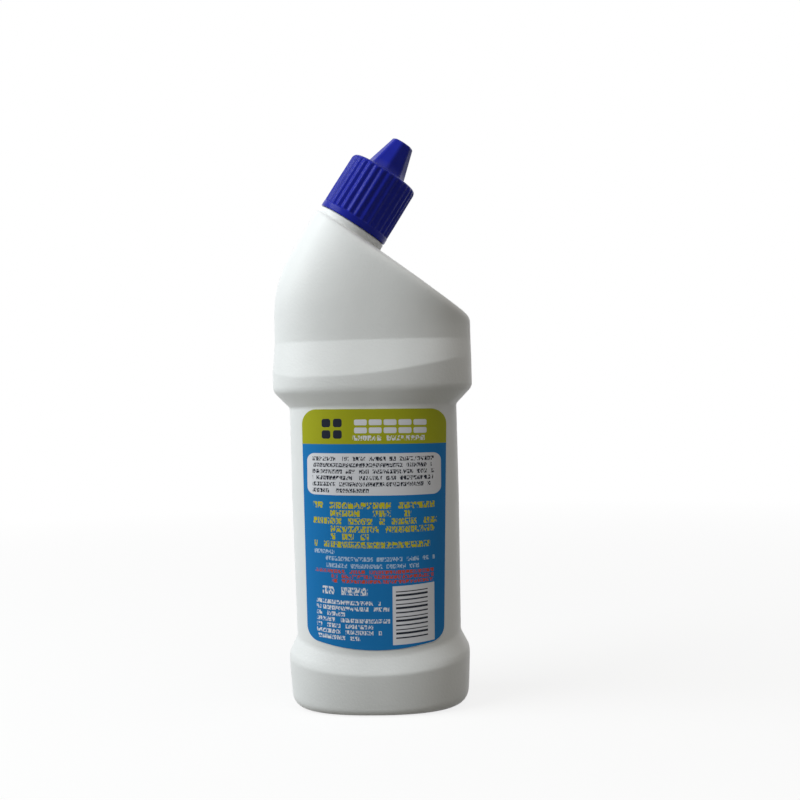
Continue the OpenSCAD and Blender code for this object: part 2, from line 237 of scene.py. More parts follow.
# %% [markdown]
# ## A moulded finish
# Every plastic of this pack is made the same way: the bump reads the group's height, and the
# group's mottle mixes two close tones of one colour, so that no face is a single flat colour.
# Sizes and the bump's depth are in millimetres.

# %% Moulded finish
def moulded_bump(tree, shader, pebble, wave, share, depth):
    group = add(tree, "ShaderNodeGroup", node_tree=MOULDED)
    for name, value in (("Pebble size", pebble), ("Wave size", wave), ("Wave share", share)):
        group.inputs[name].default_value = value
    bump = add(tree, "ShaderNodeBump")
    bump.inputs["Distance"].default_value = depth * MM
    bump.inputs["Strength"].default_value = 1
    feed(tree, bump.inputs["Height"], group.outputs["Height"])
    feed(tree, shader.inputs["Normal"], bump.outputs["Normal"])
    return group


def moulded_finish(name, roughness, darker, paler, **skin):
    material, tree, shader = new_finish(name, roughness)
    mottle = moulded_bump(tree, shader, **skin).outputs["Mottle"]
    feed(tree, shader.inputs["Base Color"], blend_colour(tree, mottle, darker, paler))
    return material, shader


# %% [markdown]
# ## White polyethylene
# The bottle's plastic is a neutral white. Its skin is dull and slightly pebbled, and it
# mirrors less than a clear plastic does. The colour is kept below pure white so that the lit
# side still shows form.

# %% White polyethylene
white, shader = moulded_finish("white_polyethylene", 0.42, (0.83, 0.85, 0.85, 1),
    (0.87, 0.885, 0.885, 1), pebble=1.1, wave=9.0, share=0.6, depth=0.075)
shader.inputs["IOR"].default_value = 1.5
shader.inputs["Specular IOR Level"].default_value = 0.25

# %% [markdown]
# ## The bottle's oval
# Every level of the body is a superellipse: an ellipse whose power is a little over two, so
# its broad sides are flatter and its ends rounder than an ellipse. The foot, the waist behind
# the labels and the chest share it, and each is given by its half width and half depth. Some
# edges dip in the middle of the front and rise at the sides, so a ring may have a second
# height there.

# %% Oval levels
COLUMNS = 144
SQUARENESS = 2.5
FOOT = (37.6, 26.5)
WAIST = (34.75, 24.0)
CHEST = (41.5, 26.5)


def power(v, p):
    return math.copysign(abs(v) ** p, v)


def across(j):
    return power(math.cos(2 * math.pi * j / COLUMNS), 2 / SQUARENESS)


def deep(j):
    return power(math.sin(2 * math.pi * j / COLUMNS), 2 / SQUARENESS)


def mix(a, b, t):
    return a + (b - a) * t


def level(half, depth, front_z, side_z=None):
    side_z = front_z if side_z is None else side_z
    ring = []
    for j in range(COLUMNS):
        c = across(j)
        ring.append(Vector((half * c, depth * deep(j), mix(front_z, side_z, c * c))))
    return ring


print("foot, waist and chest are", *(2 * part[0] for part in (FOOT, WAIST, CHEST)), "mm wide")

# %% [markdown]
# ## The waist's taper and the facet's edge
# Below its middle the waist narrows by a fraction of a millimetre. The chest band ends in an
# edge that is level under the neck and climbs towards the far end, with a short climb at the
# other end too. Both climbs start at a share of the half width and grow with a power.

# %% Taper and facet edge
WAIST_TAPER = 0.7
WAIST_MIDDLE_Z = 85
WAIST_TAPER_SPAN = 60
FACET_Z = 135.7
FACET_POWER = 1.75
FACET_FAR_RISE, FACET_FAR_START = 7.3, -0.35
FACET_BACK_RISE, FACET_BACK_START = 2.9, 0.66


def waist_half(z):
    return WAIST[0] - WAIST_TAPER * max(0, WAIST_MIDDLE_Z - z) / WAIST_TAPER_SPAN


def climb(c, rise, start):
    return rise * max(0, (c - start) / (1 - start)) ** FACET_POWER


def facet_z(c):
    far_climb = climb(c, FACET_FAR_RISE, FACET_FAR_START)
    return FACET_Z + far_climb + climb(-c, FACET_BACK_RISE, FACET_BACK_START)


print("facet edge at", round(facet_z(-1), 1), round(facet_z(0), 1), round(facet_z(1), 1), "mm")

# %% [markdown]
# ## The leaning shoulder
# Above the facet the side under the neck runs straight up, bends over on a wide arc and then
# leans, while the far side stays upright. The rings fan out between the level facet and the
# steep shoulder plane, and lean more the higher they are.

# %% Shoulder rings
FACET_TOP = 150
BEND_Z, BEND_R, BEND_LEAN = 161.5, 48, math.radians(31.5)
BACK, FAR, DEEP = 40.4, 41.4, 22.9
ROOF_BACK_Z, ROOF_FAR_Z = 205.7, 159.3
SHOULDER_LEAN = 1.5


def back_x(z, inset=0):
    top = BEND_Z + BEND_R * math.sin(BEND_LEAN)
    if z < BEND_Z:
        return inset - BACK
    if z < top:
        return inset - BACK + BEND_R - math.sqrt(BEND_R ** 2 - (z - BEND_Z) ** 2)
    return inset - BACK + BEND_R * (1 - math.cos(BEND_LEAN)) + (z - top) * math.tan(BEND_LEAN)


ROOF_SLOPE = math.atan2(ROOF_BACK_Z - ROOF_FAR_Z, FAR - back_x(ROOF_BACK_Z))


def fan_ring(t, inset=0):
    sink = inset / math.cos(ROOF_SLOPE)
    z_back = mix(FACET_TOP, ROOF_BACK_Z - sink, t)
    z_far = mix(FACET_TOP, ROOF_FAR_Z - sink, t)
    ring = []
    for j in range(COLUMNS):
        s = (across(j) + 1) / 2
        z = mix(z_back, z_far, s)
        lean = SHOULDER_LEAN * (z - FACET_TOP) / (ROOF_BACK_Z - FACET_TOP)
        ring.append(Vector((
            mix(back_x(z_back, inset), FAR - inset, s), (DEEP - inset - lean) * deep(j), z)))
    return ring


def shoulder_rings(inset):
    return [fan_ring(t, inset) for t in (0.12, 0.22, 0.33, 0.44, 0.55, 0.66)]


print("shoulder slope:", round(math.degrees(ROOF_SLOPE), 1), "degrees")

# %% [markdown]
# ## Soft creases
# Blow moulding has no sharp edges. A crease is replaced by a short curve that starts a little
# before it and ends a little after it, column by column. So the shoulder's edge can be soft
# beside the neck, tighter at the far end and tightest at the two ends of the oval.

# %% Creases
EDGE_BY_NECK, EDGE_FAR, EDGE_ENDS = 6, 3.6, 2.3


def crease(before, edge, after, cut_in, cut_out=None, steps=5):
    cut_out = cut_out or cut_in
    rings = []
    for k in range(steps + 1):
        t = k / steps
        ring = []
        for j, b in enumerate(edge):
            p = b + (before[j] - b).normalized() * cut_in[j]
            q = b + (after[j] - b).normalized() * cut_out[j]
            ring.append(p * (1 - t) ** 2 + b * 2 * t * (1 - t) + q * t * t)
        rings.append(ring)
    return rings


def even(cut):
    return [cut] * COLUMNS


def edge_cut(j):
    side = mix(EDGE_BY_NECK, EDGE_FAR, (across(j) + 1) / 2)
    return mix(EDGE_ENDS, side, abs(math.sin(2 * math.pi * j / COLUMNS)) ** 0.8)


print("shoulder edge starts", round(edge_cut(COLUMNS // 4), 1), "mm before the plane")

# %% [markdown]
# ## The neck's own directions
# The neck leans by about a third of a right angle. Its axis meets the shoulder plane near the
# plane's upper end. A matrix carries what is drawn upright, such as the thread and the cap,
# to that axis, with height zero at the cap's lower edge.

# %% Neck axis
NECK_LEAN = math.radians(33.8)
NECK_SET = 16.1
COLLAR_H = 3.76
COLLAR_R = 15.3
NECK_R = 12.5
BORE_R = 11.1
NECK_H = 19.4
GAP = 0.4

neck_foot = Vector((
    back_x(ROOF_BACK_Z) + NECK_SET * math.cos(ROOF_SLOPE), 0,
    ROOF_BACK_Z - NECK_SET * math.sin(ROOF_SLOPE)))
neck_up = Vector((math.sin(NECK_LEAN), 0, math.cos(NECK_LEAN)))
neck_out = Vector((math.cos(NECK_LEAN), 0, -math.sin(NECK_LEAN)))
neck_zero = neck_foot + neck_up * COLLAR_H
on_neck = Matrix.Translation(neck_zero) @ Matrix.Rotation(NECK_LEAN, 4, "Y")
print("neck starts at", tuple(round(c, 2) for c in neck_zero), "mm")

# %% [markdown]
# ## From the shoulder plane to the collar
# The collar grows out of the plane. Each column of the body runs on along a straight ray
# towards the neck's axis and turns up into the collar, so bottle and neck stay one skin. On
# the side under the neck the ray is under a millimetre long and the body runs straight on
# into the collar. The plane itself is crowned by just under a millimetre.

# %% Rays and collar rings
ROOF_CROWN = 0.9


def ray_angles(edge):
    return [math.atan2(p.y, (p - neck_foot).dot(neck_out)) for p in edge]


def crown(p, edge):
    middle = (edge[0] + edge[COLUMNS // 2]) / 2
    along = (edge[0] - edge[COLUMNS // 2]) / 2
    u = abs((p - middle).dot(along)) / along.length_squared
    v = abs(p.y) / abs(edge[COLUMNS // 4].y)
    reach = min(1, (u ** SQUARENESS + v ** SQUARENESS) ** (1 / SQUARENESS))
    return Vector((-along.z, 0, along.x)).normalized() * ROOF_CROWN * (1 - reach * reach)


def round_ring(radius, height, angles):
    return [neck_zero + (neck_out * math.cos(a) + Vector((0, math.sin(a), 0))) * radius
        + neck_up * height for a in angles]


def root_ring(radius, edge, angles):
    middle = (edge[0] + edge[COLUMNS // 2]) / 2
    along = edge[0] - edge[COLUMNS // 2]
    normal = Vector((-along.z, 0, along.x)).normalized()
    ring = []
    for p in round_ring(radius, -COLLAR_H, angles):
        sink = (middle - p).dot(normal) / neck_up.dot(normal)
        p = p + neck_up * sink
        ring.append(p + crown(p, edge))
    return ring


print("collar is", 2 * COLLAR_R, "mm across and the neck", 2 * NECK_R)

# %% [markdown]
# ## From the foot to the chest
# The rings run from the hollow under the bottle to the start of the shoulder. The foot slopes
# in a little below its ridge, the slope above it ends at the waist, and the waist widens to
# the chest band over a short slope. Each edge is a crease with its own softness, from the
# ridge upwards, where nought means that the ring has no crease. The inside uses the same
# rings, moved in by the wall.

# %% Foot to chest
FOOT_TUCK = 1.1
FOOT_ROUND = (3, 6)
STAND_WIDTH = 9
HOLLOW = 2.6
RIDGE_Z = (16.6, 20.2)
SLOPE_Z = (18.6, 22.6)
SLOPE_IN = 0.3
SLOPE_SHARE = 5.1 / 7.1
WAIST_LOW_Z = (23.7, 29)
WAIST_TOP_Z = 123.4
BAND_Z = 130.3
SOFTNESS = (0.8, 0.9, 1.1, 0, 0.9, 1.8, 0.6, 0.6)


def lower_rings(inset, steps):
    def oval(half, depth, *heights):
        return level(half - inset, depth - inset, *heights)

    low_half, low_depth = FOOT[0] - FOOT_TUCK, FOOT[1] - FOOT_TUCK
    stand = STAND_WIDTH - inset * math.sqrt(2)
    hollow = oval(low_half - stand - HOLLOW, low_depth - stand - HOLLOW, HOLLOW + inset)
    rim = oval(low_half - stand, low_depth - stand, inset)
    heel = oval(low_half, low_depth, inset)
    ridge = oval(*FOOT, *RIDGE_Z)
    slope = oval(FOOT[0] - SLOPE_IN, mix(WAIST[1], FOOT[1], SLOPE_SHARE), *SLOPE_Z)
    waist_low = oval(WAIST[0] - WAIST_TAPER, WAIST[1], *WAIST_LOW_Z)
    waist = oval(*WAIST, WAIST_MIDDLE_Z)
    waist_top = oval(*WAIST, WAIST_TOP_Z)
    band = oval(*CHEST, BAND_Z)
    facet = [Vector((p.x, p.y, facet_z(p.x / (CHEST[0] - inset)))) for p in band]
    levels = [heel, ridge, slope, waist_low, waist, waist_top, band, facet,
        fan_ring(0, inset), fan_ring(0.1, inset)]
    foot_round = [mix(*FOOT_ROUND, across(j) ** 2) - inset / 2 for j in range(COLUMNS)]
    rings = [hollow, rim] + crease(rim, heel, ridge, foot_round, steps=steps + 2)
    for before, edge, after, cut in zip(levels, levels[1:], levels[2:], SOFTNESS):
        rings += crease(before, edge, after, even(cut), steps=steps) if cut else [edge]
    return rings


print("rings from the foot to the chest:", len(lower_rings(0, 5)))

# %% [markdown]
# ## From the shoulder to the neck's lip
# The shoulder's upper edge rounds over onto the sloping plane, and the plane meets the collar
# in a small fillet. The collar's own upper edge is rounded too, and the bare neck stands
# inside it. The list gives each ring's radius and its height above the cap's lower edge.

# %% Outside rings
COLLAR_FILLET = 1.3
COLLAR_TOP = -GAP
COLLAR_AND_NECK = (
    (COLLAR_R, COLLAR_TOP - 0.5), (COLLAR_R - 0.12, COLLAR_TOP - 0.15),
    (COLLAR_R - 0.4, COLLAR_TOP + 0.12), (COLLAR_R - 0.6, COLLAR_TOP + 0.2),
    (NECK_R + 0.4, COLLAR_TOP + 0.2), (NECK_R, 0), (NECK_R, NECK_H - 0.4),
    (NECK_R - 0.4, NECK_H), (BORE_R + 0.3, NECK_H), (BORE_R, NECK_H - 0.3))


def outside_rings():
    edge = fan_ring(1)
    angles = ray_angles(edge)
    root = root_ring(COLLAR_R, edge, angles)
    spans = [(e - r).length for e, r in zip(edge, root)]
    fillets = [min(COLLAR_FILLET, 0.45 * s) for s in spans]
    cuts_in = [edge_cut(j) for j in range(COLUMNS)]
    cuts_out = [min(cut, 0.5 * s) for cut, s in zip(cuts_in, spans)]
    rings = lower_rings(0, 5) + shoulder_rings(0)
    rings += crease(fan_ring(0.66), edge, root, cuts_in, cuts_out, 7)
    for t in (0.35, 0.6, 0.8):
        ring = [mix(e + (r - e).normalized() * c, r + (e - r).normalized() * f, t)
            for e, r, c, f in zip(edge, root, cuts_out, fillets)]
        rings.append([p + crown(p, edge) * 0.6 for p in ring])
    collar_top = round_ring(COLLAR_R, COLLAR_TOP, angles)
    rings += crease(rings[-1], root, collar_top, fillets, even(COLLAR_FILLET), 5)
    return rings + [round_ring(r, height, angles) for r, height in COLLAR_AND_NECK], angles


outer, ray = outside_rings()
print("outside rings:", len(outer))

# %% [markdown]
# ## All rings of the inside
# The wall is a millimetre thick. The inside runs back down the bore, steps out under the
# collar and follows the shoulder and the body to the bottom, so that the bottle is one
# closed, hollow solid.

# %% Inside rings
WALL = 1.1
COLLAR_WALL = 1.3
COLLAR_CEILING = -1.7


def inside_rings(angles):
    edge = fan_ring(1, WALL)
    root = root_ring(COLLAR_R - COLLAR_WALL, edge, angles)
    spans = [(e - r).length for e, r in zip(edge, root)]
    cuts_in = [max(edge_cut(j) - WALL, 0.5) for j in range(COLUMNS)]
    cuts_out = [min(cut, 0.4 * s) for cut, s in zip(cuts_in, spans)]
    rings = lower_rings(WALL, 1) + shoulder_rings(WALL)
    rings += crease(fan_ring(0.66, WALL), edge, root, cuts_in, cuts_out, 2)
    rings += [root]
    for radius in (COLLAR_R - COLLAR_WALL, BORE_R):
        rings.append(round_ring(radius, COLLAR_CEILING, angles))
    return rings[::-1]


body_mesh = loft(outer + inside_rings(ray))

# %% [markdown]
# ## Smooth the run-on under the neck
# Where the ray to the collar is shortest, the skin would show a small step. A few rounds of
# vertex smoothing on just that patch turn it into the shallow valley that the real moulding
# has. The patch is found in the neck's own directions.

# %% Smooth the patch
SMOOTH_ROUNDS = 12
PATCH_BEHIND = -9
PATCH_LOW = -8


def smooth_patch(bm):
    patch = []
    for v in bm.verts:
        local = on_neck.inverted() @ v.co
        outside = math.hypot(local.x, local.y) > COLLAR_R - 1
        if local.x < PATCH_BEHIND and outside and PATCH_LOW < local.z < COLLAR_TOP - 0.5:
            patch.append(v)
    for _ in range(SMOOTH_ROUNDS):
        bmesh.ops.smooth_vert(bm, verts=patch, factor=0.5,
            use_axis_x=True, use_axis_y=True, use_axis_z=True)
    return len(patch)


print("smoothed vertices:", smooth_patch(body_mesh))

# %% [markdown]
# ## Screw threads
# A thread is a small profile that is spun round the axis while it climbs. bmesh's spin does
# both at once when it is given a step along the axis. The ridge fades out at its two ends,
# as a moulded thread does. The cap's thread is the same ridge, turned inwards.

# %% Thread
THREAD_TURNS = 1.5
THREAD_PITCH = 3.2
THREAD_STEPS = 108
THREAD_FADE = 0.08
THREAD_ROOT, THREAD_CREST = 0.95, 0.35


def closed_outline(bm, points):
    verts = [bm.verts.new((r, 0, z)) for r, z in points]
    return [bm.edges.new(pair) for pair in zip(verts, verts[1:] + verts[:1])]


def fade_ends(bm, root_r, start_z):
    for v in bm.verts:
        radius = math.hypot(v.co.x, v.co.y)
        angle = math.atan2(v.co.y, v.co.x) / (2 * math.pi)
        turn = round((v.co.z - start_z) / THREAD_PITCH - angle)
        done = (turn + angle) / THREAD_TURNS
        fade = max(0.0, min(1, done / THREAD_FADE, (1 - done) / THREAD_FADE))
        wanted = root_r + (radius - root_r) * fade
        v.co.x *= wanted / radius
        v.co.y *= wanted / radius


def thread(root_r, crest_r, start_z, place):
    bm = bmesh.new()
    edges = closed_outline(bm, (
        (root_r, start_z - THREAD_ROOT), (crest_r, start_z - THREAD_CREST),
        (crest_r, start_z + THREAD_CREST), (root_r, start_z + THREAD_ROOT)))
    step = THREAD_PITCH * THREAD_TURNS / THREAD_STEPS
    spun = bmesh.ops.spin(bm, geom=edges, cent=(0, 0, 0), axis=(0, 0, 1), dvec=(0, 0, step),
        angle=2 * math.pi * THREAD_TURNS, steps=THREAD_STEPS)
    bmesh.ops.contextual_create(bm, geom=edges)
    bmesh.ops.contextual_create(bm, geom=only(spun["geom_last"], bmesh.types.BMEdge))
    fade_ends(bm, root_r, start_z)
    bmesh.ops.recalc_face_normals(bm, faces=bm.faces)
    bmesh.ops.transform(bm, matrix=place, verts=bm.verts)
    return bm


def join(target, extra):
    carried = bpy.data.meshes.new("carried")
    extra.to_mesh(carried)
    extra.free()
    target.from_mesh(carried)
    bpy.data.meshes.remove(carried)


join(body_mesh, thread(NECK_R - 0.15, 13.2, 6.0, on_neck))
finish(body_mesh, "bottle_body", "bottle", "bottle", [white], 42)

# %% [markdown]
# ## Blue polypropylene
# The cap is injection moulded. It is smoother than the bottle and its blue is deep and clean,
# with a slow mottle of two close blues and a very fine grain that breaks up the highlights on
# its ribs.

# %% Blue polypropylene
blue, shader = moulded_finish("blue_polypropylene", 0.25, (0.010, 0.017, 0.31, 1),
    (0.014, 0.023, 0.37, 1), pebble=0.5, wave=5.0, share=0.3, depth=0.006)
shader.inputs["IOR"].default_value = 1.49
shader.inputs["Specular IOR Level"].default_value = 0.08

# %% [markdown]
# ## The cap's section
# Thirty ribs run up the side. Each is a shallow tooth with flat flanks and softened crest and
# valley. The ribs start above a plain band and fade into the rounded top edge. The nose is an
# octagon whose corners are rounded, and it tapers to the tip.

# %% Cap outline functions
CAP_R = 15.4
CAP_H = 25.6
CAP_DRAFT = 0.3
CAP_ROUND = 2.0
RIBS = 30
VALLEY_R = 14.5
PER_RIB = 8
RIB_FLAT = 0.08
NOSE_ROOT, NOSE_TIP, NOSE_H = 8.3, 4.45, 14.3
NOSE_CORNER = 2.2
NOSE_TURN = 29
HALF_SIDE = 22.5
CAP_COLUMNS = RIBS * PER_RIB
cap_angles = [2 * math.pi * j / CAP_COLUMNS for j in range(CAP_COLUMNS)]


def rib_radius(j, crest):
    rise = abs((j % PER_RIB) / PER_RIB - 0.5) * 2
    rise = min(1 - RIB_FLAT, max(RIB_FLAT, rise))
    flank = (rise - RIB_FLAT) / (1 - 2 * RIB_FLAT)
    return min(crest, mix(VALLEY_R, CAP_R - 0.12, flank))


def ring_at(height, radius_of):
    return [Vector((radius_of(j) * math.cos(a), radius_of(j) * math.sin(a), height))
        for j, a in enumerate(cap_angles)]


def plain(height, radius):
    return ring_at(height, lambda j: radius)


def nose_radius(j, flat):
    off = (math.degrees(cap_angles[j]) - NOSE_TURN + HALF_SIDE) % (2 * HALF_SIDE) - HALF_SIDE
    from_corner = math.radians(HALF_SIDE - abs(off))
    half = math.radians(HALF_SIDE)
    reach = (flat - NOSE_CORNER) / math.cos(half)
    limit = math.atan2(NOSE_CORNER * math.sin(half), reach + NOSE_CORNER * math.cos(half))
    if from_corner < limit:
        side = reach * math.sin(from_corner)
        return reach * math.cos(from_corner) + math.sqrt(NOSE_CORNER ** 2 - side ** 2)
    return flat / math.cos(math.radians(off))


print("cap has", RIBS, "ribs and stands", CAP_H + NOSE_H, "mm high")

# %% [markdown]
# ## The cap's rings
# The skin starts at the pin inside the nose, comes down the hollow nose and the bore, turns
# round the lower edge and goes up over the ribs to the tip. So the cap is one closed piece
# that can be lifted off and looked into. The two lists give each plain ring's height and
# radius.

# %% Cap rings
SPOUT_END = 36.8
CEILING = 22.5
NOSE_CEILING = 38.4
CAP_BORE = 13.9
CAP_INSIDE = (
    (SPOUT_END - 2.5, 0.5), (SPOUT_END - 2.3, 0.9), (SPOUT_END - 1.9, 1.1), (NOSE_CEILING, 1.1),
    (NOSE_CEILING, 3.1), (CAP_H, 6.9), (CEILING, 6.9), (CEILING, CAP_BORE - 0.3),
    (CEILING - 0.3, CAP_BORE), (0.3, CAP_BORE), (0, CAP_BORE + 0.3))
CAP_BAND = (
    (0, CAP_R - 0.3), (0.1, CAP_R - 0.1), (0.35, CAP_R), (2.35, CAP_R), (2.6, CAP_R - 0.08))
TIP_ROUND = 1.1


def rib_rings():
    rings = []
    for height, share in ((2.75, 0.4), (3.0, 0.8), (3.3, 1.0)):
        rings.append(ring_at(height,
            lambda j: mix(CAP_R - 0.1, rib_radius(j, CAP_R - 0.06), share)))
    for height in (9, 16, 22):
        crest = CAP_R - CAP_DRAFT * height / (CAP_H - CAP_ROUND)
        rings.append(ring_at(height, lambda j: rib_radius(j, crest)))
    for degrees in (0, 15, 30, 42, 52, 62, 72, 82, 90):
        turn = math.radians(degrees)
        crest = CAP_R - CAP_DRAFT - CAP_ROUND * (1 - math.cos(turn))
        height = CAP_H - CAP_ROUND * (1 - math.sin(turn))
        rings.append(ring_at(height, lambda j: rib_radius(j, crest)))
    return rings


def nose_rings():
    rings = [plain(CAP_H, 11.5), plain(CAP_H, 10.2), plain(CAP_H + 0.1, 9.95)]
    for height, share in ((0.35, 0.25), (0.65, 0.65), (1, 1), (4, 1), (8, 1), (12, 1)):
        flat = mix(NOSE_ROOT, NOSE_TIP, height / NOSE_H)
        rings.append(ring_at(CAP_H + height, lambda j: mix(9.75, nose_radius(j, flat), share)))
    for degrees in (0, 20, 40, 60, 78, 90):
        turn = math.radians(degrees)
        flat = mix(NOSE_ROOT, NOSE_TIP, (NOSE_H - TIP_ROUND) / NOSE_H) - (1 - math.cos(turn))
        height = CAP_H + NOSE_H - TIP_ROUND * (1 - math.sin(turn))
        rings.append(ring_at(height, lambda j: nose_radius(j, flat)))
    return rings + [plain(CAP_H + NOSE_H, 1.5)]


cap_start = [plain(height, radius) for height, radius in CAP_INSIDE + CAP_BAND]
cap_mesh = loft(cap_start + rib_rings() + nose_rings())
bmesh.ops.transform(cap_mesh, matrix=on_neck, verts=cap_mesh.verts)
join(cap_mesh, thread(CAP_BORE + 0.1, 13.35, 4.4, on_neck))
finish(cap_mesh, "screw_cap", "cap", "cap", [blue], 50)

# %% [markdown]
# ## The nozzle insert
# Under the cap a plug fills the neck's bore. It has a flange on the lip and a slim spout with
# a small outlet. It is a turned shape, so its half section, a list of radius and height, is
# spun once round the axis. The closed cap hides it, so its details are those that such packs
# usually have.

# %% Nozzle insert
def turned(section, steps=96):
    bm = bmesh.new()
    bmesh.ops.spin(bm, geom=closed_outline(bm, section), cent=(0, 0, 0), axis=(0, 0, 1),
        angle=2 * math.pi, steps=steps, use_merge=True)
    bmesh.ops.recalc_face_normals(bm, faces=bm.faces)
    bmesh.ops.transform(bm, matrix=on_neck, verts=bm.verts)
    return bm


insert_white, shader = moulded_finish("insert_polyethylene", 0.38, (0.82, 0.82, 0.78, 1),
    (0.86, 0.86, 0.83, 1), pebble=0.6, wave=4.0, share=0.6, depth=0.01)
FLANGE_TOP = NECK_H + 1.8
PLUG_END = 12.4
PLUG_IN, PLUG_OUT = 10.08, 11.08
FLANGE_R = 12.6
OUTLET_R = 1.5
insert_section = (
    (PLUG_IN, PLUG_END), (PLUG_IN, NECK_H), (3.8, NECK_H), (OUTLET_R, NECK_H + 9.36),
    (OUTLET_R, SPOUT_END - 0.2), (1.7, SPOUT_END), (2.2, SPOUT_END), (2.45, SPOUT_END - 0.15),
    (2.55, SPOUT_END - 0.5), (4.6, FLANGE_TOP + 1.1), (4.9, FLANGE_TOP + 0.4),
    (5.6, FLANGE_TOP), (FLANGE_R - 0.3, FLANGE_TOP), (FLANGE_R - 0.1, FLANGE_TOP - 0.1),
    (FLANGE_R, FLANGE_TOP - 0.3), (FLANGE_R, NECK_H + 0.2), (FLANGE_R - 0.2, NECK_H + 0.02),
    (PLUG_OUT, NECK_H + 0.02), (PLUG_OUT, PLUG_END + 0.3), (PLUG_OUT - 0.28, PLUG_END))
finish(turned(insert_section), "spout_insert", "nozzle_insert", "bottle",
    [insert_white])

# %% [markdown]
# ## The seal ring
# A flat ring of foamed polyethylene lies under the cap's ceiling. It shows only when the cap
# is off. Foam has closed cells that catch the light, so its bump is coarser than its colour.

# %% Seal ring
foam, shader = moulded_finish("foamed_polyethylene", 0.7, (0.78, 0.78, 0.76, 1),
    (0.84, 0.84, 0.82, 1), pebble=0.35, wave=2.0, share=0.4, depth=0.05)
SEAL_LOW, SEAL_HIGH = FLANGE_TOP + 0.05, FLANGE_TOP + 1.25
SEAL_IN, SEAL_OUT = 7.4, 12.6
SEAL_EDGE = 0.1
seal_section = (
    (SEAL_IN, SEAL_LOW + SEAL_EDGE), (SEAL_IN + SEAL_EDGE, SEAL_LOW),
    (SEAL_OUT - SEAL_EDGE, SEAL_LOW), (SEAL_OUT, SEAL_LOW + SEAL_EDGE),
    (SEAL_OUT, SEAL_HIGH - SEAL_EDGE), (SEAL_OUT - SEAL_EDGE, SEAL_HIGH),
    (SEAL_IN + SEAL_EDGE, SEAL_HIGH), (SEAL_IN, SEAL_HIGH - SEAL_EDGE))
finish(turned(seal_section), "seal_wad", "seal_ring", "seal", [foam])

# %% [markdown]
# ## A printed box
# The label's print is drawn by masks in millimetres on the label. The first gives a box with
# rounded corners: inside the box shrunk by its corner radius the reach is nought, and beyond
# that it grows like a distance, so one subtraction gives the rounded edge.

# %% Box group
PRINT_SHARPNESS = 12.0


def make_box_group():
    names = (("X", 0), ("Z", 0), ("Left", 0), ("Right", 1), ("Low", 0), ("High", 1),
        ("Corner", 0.5))
    tree, given, out = group_of("print_box", names, ["Mask"])

    def beyond(value, low, high):
        middle = maths(tree, "MULTIPLY", maths(tree, "ADD", low, high), 0.5)
        half = maths(tree, "MULTIPLY", maths(tree, "SUBTRACT", high, low), 0.5)
        away = maths(tree, "ABSOLUTE", maths(tree, "SUBTRACT", value, middle))
        inner = maths(tree, "SUBTRACT", half, given["Corner"])
        return maths(tree, "MAXIMUM", maths(tree, "SUBTRACT", away, inner), 0.0)

    wide = beyond(given["X"], given["Left"], given["Right"])
    tall = beyond(given["Z"], given["Low"], given["High"])
    reach = maths(tree, "SQRT", maths(tree, "ADD",
        maths(tree, "MULTIPLY", wide, wide), maths(tree, "MULTIPLY", tall, tall)))
    spare = maths(tree, "SUBTRACT", given["Corner"], reach)
    feed(tree, out["Mask"], maths(tree, "MULTIPLY", spare, PRINT_SHARPNESS, True))
    return tree


BOX = make_box_group()

# %% [markdown]
# ## A row of marks
# The second mask fills a row with short marks that mean nothing. White noise keeps or drops
# each cell of the row, which leaves uneven gaps, and a stretched noise cuts the cells that
# stay into pen strokes. The seed makes every row different.

# %% Marks group
CELL_FILLED = 0.88
STROKE_TALL = 1.9
INK_LEVEL, INK_SHARPNESS = 0.40, 9.0


def make_marks_group():
    names = (("X", 0), ("Z", 0), ("Mark", 1.6), ("Stroke", 0.5), ("Seed", 0), ("Fill", 0.8))
    tree, given, out = group_of("print_words", names, ["Mask"])
    place = maths(tree, "DIVIDE", given["X"], given["Mark"])
    cell = add(tree, "ShaderNodeTexWhiteNoise", noise_dimensions="2D")
    cell_at = add(tree, "ShaderNodeCombineXYZ")
    feed(tree, cell_at.inputs["X"], maths(tree, "FLOOR", place))
    feed(tree, cell_at.inputs["Y"], given["Seed"])
    feed(tree, cell.inputs["Vector"], cell_at.outputs[0])
    kept = maths(tree, "LESS_THAN", cell.outputs["Value"], given["Fill"])
    filled = maths(tree, "LESS_THAN", maths(tree, "FRACT", place), CELL_FILLED)
    pen = add(tree, "ShaderNodeTexNoise", noise_dimensions="3D")
    pen.inputs["Detail"].default_value = 0
    pen.inputs["Scale"].default_value = 1
    pen_at = add(tree, "ShaderNodeCombineXYZ")
    feed(tree, pen_at.inputs["X"], maths(tree, "DIVIDE", given["X"], given["Stroke"]))
    feed(tree, pen_at.inputs["Y"], given["Seed"])
    tall = maths(tree, "MULTIPLY", given["Stroke"], STROKE_TALL)
    feed(tree, pen_at.inputs["Z"], maths(tree, "DIVIDE", given["Z"], tall))
    feed(tree, pen.inputs["Vector"], pen_at.outputs[0])
    over = maths(tree, "SUBTRACT", pen.outputs["Fac"], INK_LEVEL)
    ink = maths(tree, "MULTIPLY", over, INK_SHARPNESS, True)
    feed(tree, out["Mask"], maths(tree, "MULTIPLY", maths(tree, "MULTIPLY", kept, filled), ink))
    return tree


MARKS = make_marks_group()

# %% [markdown]
# ## The label's artwork
# Each field is a colour laid over what is below it. Positions are millimetres on the label
# itself: sideways from its middle line and up from the floor. The labels are stuck on
# slightly askew and their print bows a little round the waist, so the piece's own coordinates
# are shifted, tilted and bowed first. On the far label they are turned round as well.

# %% Artwork painter
LABEL_SHIFT, LABEL_TILT, LABEL_MID = 0.8, math.radians(1.1), 74.2
PRINT_BOW = 2.4e-5
PRINT_BOW_Z = 110


